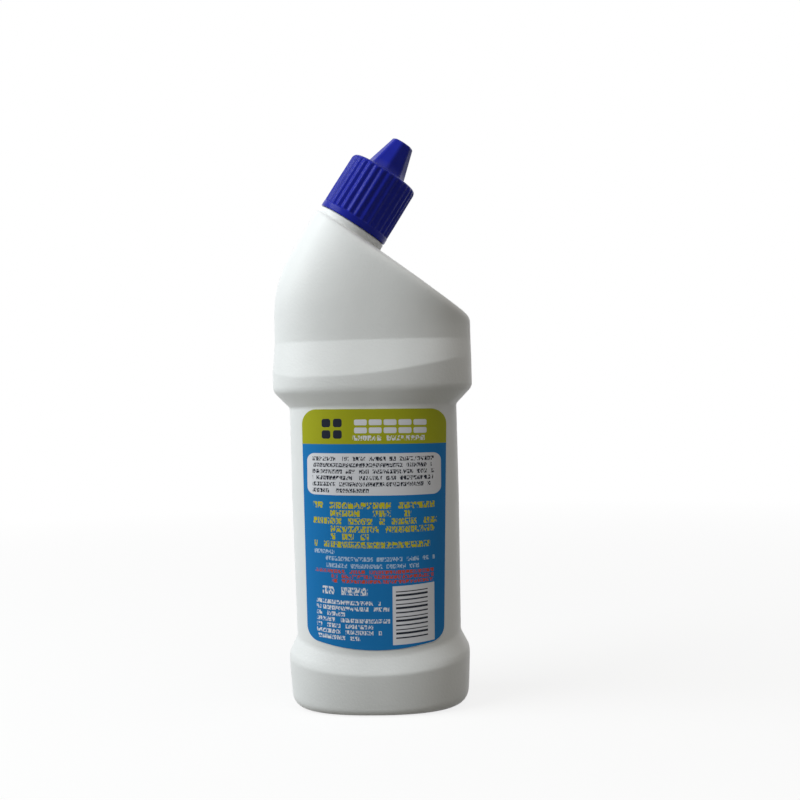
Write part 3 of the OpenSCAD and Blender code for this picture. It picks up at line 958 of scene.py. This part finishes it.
class Artwork:
    """Lays boxes and rows of marks over each other on one label."""

    def __init__(self, name, turned_round, ground):
        self.material, self.tree, self.shader = new_finish(name, 0.34)
        self.shader.inputs["Specular IOR Level"].default_value = 0.14
        coords = add(self.tree, "ShaderNodeTexCoord").outputs["Object"]
        parts = add(self.tree, "ShaderNodeSeparateXYZ")
        feed(self.tree, parts.inputs[0], coords)
        way = -1 / MM if turned_round else 1 / MM
        across_label = self.sum(self.times(parts.outputs["X"], way), -LABEL_SHIFT)
        up_label = self.sum(self.times(parts.outputs["Z"], 1 / MM), -LABEL_MID)
        self.x = self.sum(across_label, self.times(up_label, -math.sin(LABEL_TILT)))
        level_z = self.sum(up_label, self.times(across_label, math.sin(LABEL_TILT)))
        below = self.times(self.sum(level_z, LABEL_MID - PRINT_BOW_Z), PRINT_BOW)
        bow = self.times(self.times(self.x, self.x), below)
        self.z = self.sum(self.sum(level_z, LABEL_MID), bow)
        self.colour = ground
        self.rows = 0

    def sum(self, a, b):
        return maths(self.tree, "ADD", a, b)

    def times(self, a, b):
        return maths(self.tree, "MULTIPLY", a, b)

    def mask(self, group, **values):
        node = add(self.tree, "ShaderNodeGroup", node_tree=group)
        for name, value in values.items():
            feed(self.tree, node.inputs[name], value)
        return node.outputs[0]

    def box(self, colour, left, right, low, high, corner=0.2, rise=0.0, marks=None, fill=0.8,
            stroke=0.42):
        # With a rise, the box's ends stand higher than its middle, as print does on a curve
        z = self.z
        if rise:
            z = maths(self.tree, "SUBTRACT", z, self.times(self.times(self.x, self.x), rise))
        mask = self.mask(BOX, X=self.x, Z=z, Left=left, Right=right, Low=low, High=high,
            Corner=corner)
        if marks:
            self.rows += 1
            mask = self.times(mask, self.mask(MARKS, X=self.x, Z=z, Mark=marks, Stroke=stroke,
                Seed=self.rows * 3.7, Fill=fill))
        self.colour = blend_colour(self.tree, mask, self.colour, colour)

    def done(self):
        feed(self.tree, self.shader.inputs["Base Color"], self.colour)
        moulded_bump(self.tree, self.shader, pebble=0.8, wave=12.0, share=1.0, depth=0.02)
        print(self.material.name, "has", self.rows, "rows of marks")
        return self.material


LABEL_BLUE = (0.010, 0.195, 0.52, 1)
LABEL_GREEN = (0.40, 0.42, 0.016, 1)
PAPER_WHITE = (0.80, 0.81, 0.86, 1)
INK_DARK = (0.012, 0.016, 0.03, 1)
INK_YELLOW = (0.62, 0.55, 0.02, 1)
INK_PALE = (0.45, 0.60, 0.80, 1)
INK_RED = (0.62, 0.075, 0.03, 1)
DISC_BLUE = (0.08, 0.40, 0.72, 1)

# %% [markdown]
# ## Back label: the header and the pale panel
# This is the side in the photograph. A blue field has a yellow-green header with four dark
# squares and two rows of plain bars. Below it stands a pale rounded panel with dark rows.

# %% Back label, upper half
art = Artwork("back_print", False, LABEL_BLUE)
art.box(LABEL_GREEN, -40, 40, 108.2, 140)
for low in (115.0, 110.4):
    for left in (-20.6, -15.9):
        art.box(INK_DARK, left, left + 3.7, low, low + 3.5, 1.0)
for k in range(5):
    left = -7.3 + k * 5.9
    for low in (115.7, 112.5):
        art.box(PAPER_WHITE, left, left + 5.2, low, low + 2.4, 0.7)
art.box(PAPER_WHITE, -8.0, 20.9, 109.6, 111.7, 0.2, marks=1.9, fill=0.92, stroke=0.5)
art.box(PAPER_WHITE, -27.0, 27.0, 87.7, 104.6, 3.2)
PANEL_ROW_ENDS = (24.4, 23.4, 24.4, 23.9, 23.7, -1.5)
for k, end in enumerate(PANEL_ROW_ENDS):
    low = 101.5 - k * 2.55
    art.box(INK_DARK, -24.7, end, low, low + 1.75, 0.15, marks=1.35, fill=0.86, stroke=0.4)
print("rows so far:", art.rows)

# %% [markdown]
# ## Back label: the rows and the block with bars
# Rows in yellow, pale blue, red and white follow, each kind with its own height and stroke.
# A row is given by its middle height, its start and its end. At the lower right stands a pale
# block with plain bars in a repeating pattern.

# %% Back label, lower half
YELLOW_ROWS = ((83.7, -24.5, 24.4), (80.5, -17.3, 15.2), (77.4, -24.5, 25.2),
    (74.2, -17.2, 24.2), (71.2, -17.3, -1.7), (68.0, -24.1, 22.6))
PALE_ROWS = ((64.9, -24.1, -15.6), (62.3, -19.4, 24.3), (59.5, -19.1, 19.3))
RED_ROWS = ((57.2, -23.7, 23.8), (55.3, -17.0, 23.8), (53.4, -16.8, 23.8))
WHITE_ROW_ENDS = (2.8, 6.2, -7.7, 6.5, 2.9, 3.2, -5.5)
BLOCK_RISE = 0.0012
for z, start, end in YELLOW_ROWS:
    art.box(INK_YELLOW, start, end, z - 1.3, z + 1.3, 0.2, marks=2.5, fill=0.9, stroke=0.55)
for z, start, end in PALE_ROWS:
    art.box(INK_PALE, start, end, z - 0.9, z + 0.9, 0.15, marks=1.3, fill=0.84)
for z, start, end in RED_ROWS:
    art.box(INK_RED, start, end, z - 0.75, z + 0.75, 0.15, marks=1.6, fill=0.93, stroke=0.5)
art.box(PAPER_WHITE, -20.8, -2.3, 47.8, 51.0, 0.2, marks=2.6, fill=0.88, stroke=0.6)
for k, end in enumerate(WHITE_ROW_ENDS):
    low = 43.9 - k * 2.36
    art.box(PAPER_WHITE, -23.4, end, low, low + 1.75, 0.15, marks=1.9, fill=0.87, stroke=0.45)
art.box(PAPER_WHITE, 7.5, 24.0, 28.0, 51.5, 0.2, rise=BLOCK_RISE)
for k in range(12):
    low = 48.9 - k * 1.68
    tall = (0.5, 0.95, 0.65)[k % 3]
    art.box(INK_DARK, 8.8, 21.4, low, low + tall, 0.1, rise=BLOCK_RISE)
back_print = art.done()

# %% [markdown]
# ## Front label, the side away from the camera
# The photograph doesn't show it. It keeps the same header and blue field and has one large
# pale disc and a few bars, which is plain but finished. The film's cut edge is unprinted.

# %% Front label artwork
art = Artwork("front_print", True, LABEL_BLUE)
art.box(LABEL_GREEN, -40, 40, 108.1, 140)
art.box(PAPER_WHITE, -18, 18, 111.2, 116.8, 1.6)
art.box(PAPER_WHITE, -19, 19, 62, 100, 18.9)
art.box(DISC_BLUE, -15.5, 15.5, 65.5, 96.5, 15.4)
art.box(LABEL_GREEN, -22, 22, 50.5, 57.5, 3.4)
for k in range(3):
    art.box(PAPER_WHITE, -18 + 2 * k, 18 - 2 * k, 44.5 - k * 4.5, 46.5 - k * 4.5, 0.9)
front_print = art.done()

white_film, tree, shader = new_finish("label_edge", 0.34, (0.80, 0.82, 0.84, 1))
moulded_bump(tree, shader, pebble=0.8, wave=12.0, share=1.0, depth=0.01)

# %% [markdown]
# ## The label film
# A label is a thin film that follows the waist. Its outline is drawn flat: straight sides that
# widen upwards, four rounded corners and a lower edge that hangs in a shallow bow. Half of it
# is worked out and mirrored. A second function tells how far forward the waist's oval lies.

# %% Label outline
LABEL_TOP, LABEL_LOW, LABEL_BOW, LABEL_CORNER = 122.2, 26.2, 2.6, 6.2
LABEL_HALF_LOW, LABEL_HALF_TOP = 27.6, 29.3
CORNER_STEPS = 12
BOW_STEPS = 8


def label_half(z):
    share = (z - LABEL_LOW) / (LABEL_TOP - LABEL_LOW)
    return mix(LABEL_HALF_LOW, LABEL_HALF_TOP, share)


def corner(x, z, start, end):
    turns = [math.radians(mix(start, end, k / CORNER_STEPS)) for k in range(CORNER_STEPS + 1)]
    return [(x + LABEL_CORNER * math.cos(a), z + LABEL_CORNER * math.sin(a)) for a in turns]


def label_outline():
    low_z = LABEL_LOW + LABEL_BOW + LABEL_CORNER
    top_z = LABEL_TOP - LABEL_CORNER
    low_x = label_half(low_z) - LABEL_CORNER
    top_x = label_half(top_z) - LABEL_CORNER
    shares = [k / BOW_STEPS for k in range(BOW_STEPS)]
    side = [(low_x * t, LABEL_LOW + LABEL_BOW * t ** 2) for t in shares]
    side += corner(low_x, low_z, -84, 0) + corner(top_x, top_z, 0, 90)
    return side + [(-x, z) for x, z in side[:0:-1]]


def on_waist(x, z, grow):
    half, depth = waist_half(z) + grow, WAIST[1] + grow
    return -depth * max(0, 1 - (abs(x) / half) ** SQUARENESS) ** (1 / SQUARENESS)


print("label outline has", len(label_outline()), "points")

# %% [markdown]
# ## Stick the labels on
# The film starts as one flat face. An inset leaves the narrow unprinted edge, and planes cut
# the face into strips. The machine that sticks labels on sets them slightly askew, so the
# film is turned and shifted a little before each vertex moves back onto the waist's oval.
# Solidify gives the film its thickness. The far label is the same film, turned half round.

# %% Label mesh
LABEL_GLUE, LABEL_T = 0.05, 0.13
LABEL_EDGE = 0.45
STRIP = 0.77


def cut_through(bm, place, normal):
    bmesh.ops.bisect_plane(bm, geom=bm.verts[:] + bm.edges[:] + bm.faces[:],
        plane_co=place, plane_no=normal)


def label_film(back_way):
    bm = bmesh.new()
    face = bm.faces.new([bm.verts.new((x, 0, z)) for x, z in label_outline()])
    bmesh.ops.inset_region(bm, faces=[face], thickness=LABEL_EDGE, use_even_offset=True)
    for f in bm.faces:
        f.material_index = 0 if f is face else 1
    for k in range(-38, 39):
        cut_through(bm, (k * STRIP + 0.01, 0, 0), (1, 0, 0))
    for z in (40, 55, 70, 85, 100, 112):
        cut_through(bm, (0, 0, z), (0, 0, 1))
    askew = Matrix.Translation((LABEL_SHIFT, 0, LABEL_MID)) @ Matrix.Rotation(
        LABEL_TILT, 4, "Y") @ Matrix.Translation((0, 0, -LABEL_MID))
    bmesh.ops.transform(bm, matrix=askew, verts=bm.verts)
    for v in bm.verts:
        v.co.y = on_waist(v.co.x, v.co.z, LABEL_GLUE + LABEL_T)
    bmesh.ops.recalc_face_normals(bm, faces=bm.faces)
    if sum(f.normal.y for f in bm.faces) > 0:
        bmesh.ops.reverse_faces(bm, faces=bm.faces)
    bmesh.ops.solidify(bm, geom=bm.faces, thickness=LABEL_T)
    if back_way:
        half_turn = Matrix.Rotation(math.pi, 3, "Z")
        bmesh.ops.rotate(bm, cent=(0, 0, 0), matrix=half_turn, verts=bm.verts)
    return bm


finish(label_film(False), "back_label_film", "back_label", "bottle",
    [back_print, white_film])
finish(label_film(True), "front_label_film", "front_label", "bottle",
    [front_print, white_film])

# %% [markdown]
# ## A floor that looks white
# The photograph is a cut-out on white. Seen directly, or in a glossy or clear surface, the
# floor glows towards white: a little less close to the bottle, so that a soft shadow stays
# there. All other light meets a plain grey surface, so the floor adds no light of its own to
# the bottle.

# %% Floor material
FLOOR_SEEN = (0.96, 0.96, 0.96, 1)
FLOOR_UNSEEN = (0.24, 0.23, 0.21, 1)
GLOW_NEAR, GLOW_PER_METRE = 0.82, 0.2


def seen_directly(tree):
    rays = add(tree, "ShaderNodeLightPath").outputs
    mirrored = maths(tree, "MAXIMUM", rays["Is Glossy Ray"], rays["Is Transmission Ray"])
    return maths(tree, "MAXIMUM", rays["Is Camera Ray"], mirrored)


def studio_white():
    material, tree, shader = new_finish("studio_white", 0.9)
    shader.inputs["Specular IOR Level"].default_value = 0
    seen = seen_directly(tree)
    feed(tree, shader.inputs["Base Color"], blend_colour(tree, seen, FLOOR_UNSEEN, FLOOR_SEEN))
    away = add(tree, "ShaderNodeVectorMath", operation="LENGTH")
    feed(tree, away.inputs[0], add(tree, "ShaderNodeTexCoord").outputs["Object"])
    grown = maths(tree, "MULTIPLY", away.outputs["Value"], GLOW_PER_METRE)
    share = maths(tree, "MINIMUM", 1.0, maths(tree, "ADD", GLOW_NEAR, grown))
    glow = add(tree, "ShaderNodeEmission")
    glow.inputs["Strength"].default_value = 1
    join_shaders = add(tree, "ShaderNodeMixShader")
    feed(tree, join_shaders.inputs[0], maths(tree, "MULTIPLY", seen, share))
    feed(tree, join_shaders.inputs[1], shader.outputs[0])
    feed(tree, join_shaders.inputs[2], glow.outputs[0])
    feed(tree, tree.nodes["Material Output"].inputs[0], join_shaders.outputs[0])
    return material


# %% [markdown]
# ## Floor and backdrop
# One sheet is the floor, sweeps up on an arc behind the bottle and stands as the backdrop, so
# there is no line where the two meet. It lies a tenth of a millimetre under the bottle's
# standing rim, because two faces in one plane would flicker.

# %% Floor and backdrop
FLOOR_Z = -0.0001
FLOOR_FRONT, FLOOR_BACK = -3.0, 1.2
SWEEP_R = 0.6
BACKDROP_TOP = 3.0
SWEEP_WIDTH = 8


def sweep():
    bm = bmesh.new()
    line = [(FLOOR_FRONT, FLOOR_Z), (FLOOR_BACK, FLOOR_Z)]
    for k in range(1, 10):
        a = math.radians(10 * k)
        line.append((FLOOR_BACK + SWEEP_R * math.sin(a), FLOOR_Z + SWEEP_R * (1 - math.cos(a))))
    line.append((FLOOR_BACK + SWEEP_R, BACKDROP_TOP))
    verts = [bm.verts.new((-SWEEP_WIDTH / 2, y, z)) for y, z in line]
    edges = [bm.edges.new(pair) for pair in zip(verts, verts[1:])]
    grown = bmesh.ops.extrude_edge_only(bm, edges=edges)["geom"]
    bmesh.ops.translate(bm, vec=(SWEEP_WIDTH, 0, 0), verts=only(grown, bmesh.types.BMVert))
    bmesh.ops.recalc_face_normals(bm, faces=bm.faces)
    mesh = bpy.data.meshes.new("sweep")
    bm.to_mesh(mesh)
    bm.free()
    mesh.shade_smooth()
    mesh.materials.append(studio_white())
    piece = bpy.data.objects.new("sweep", mesh)
    bpy.context.scene.collection.objects.link(piece)
    print("floor and backdrop have", len(mesh.polygons), "faces")


sweep()

# %% [markdown]
# ## Lamps
# The photograph has one broad soft light on the left, a little above and in front. A large
# area lamp makes it. A second, wider and warmer lamp stands high on the right and lights the
# slopes that face up. Azimuth and elevation are degrees as seen from the bottle's middle.

# %% Lamps
LAMP_TARGET = Vector((0, 0, 0.12))


def lamp(name, azimuth, elevation, distance, size, power_w, colour):
    data = bpy.data.lights.new(name, "AREA")
    data.shape = "RECTANGLE"
    data.size, data.size_y = size, size
    data.energy = power_w
    data.color = colour
    light = bpy.data.objects.new(name, data)
    a, e = math.radians(azimuth), math.radians(elevation)
    way = Vector((math.sin(a) * math.cos(e), -math.cos(a) * math.cos(e), math.sin(e)))
    light.location = LAMP_TARGET + way * distance
    light.rotation_euler = way.to_track_quat("Z", "Y").to_euler()
    bpy.context.scene.collection.objects.link(light)
    print("lamp", name, "of", power_w, "watts")


lamp("window", -68, 36, 1.05, 0.8, 11.6, (0.955, 1.0, 1.015))
lamp("ceiling", 60, 64, 1.3, 1.2, 5.2, (1.0, 0.965, 0.91))

# %% [markdown]
# ## The world's fill
# The world adds a weak warm light from all sides, so that no side is black. Where the world
# itself is seen, directly or mirrored, it is plain white like the floor.

# %% World
FILL_COLOUR = (1.0, 0.94, 0.86, 1)
FILL_STRENGTH = 0.12

world = bpy.data.worlds.new("fill")
world.use_nodes = True
tree = world.node_tree
fill = tree.nodes["Background"]
fill.inputs["Color"].default_value = FILL_COLOUR
fill.inputs["Strength"].default_value = FILL_STRENGTH
seen_white = add(tree, "ShaderNodeBackground")
seen_white.inputs["Color"].default_value = (1, 1, 1, 1)
choose = add(tree, "ShaderNodeMixShader")
feed(tree, choose.inputs[0], seen_directly(tree))
feed(tree, choose.inputs[1], fill.outputs[0])
feed(tree, choose.inputs[2], seen_white.outputs[0])
feed(tree, tree.nodes["World Output"].inputs[0], choose.outputs[0])
bpy.context.scene.world = world
bpy.context.scene.view_settings.view_transform = "Standard"
print("world fill strength:", FILL_STRENGTH)
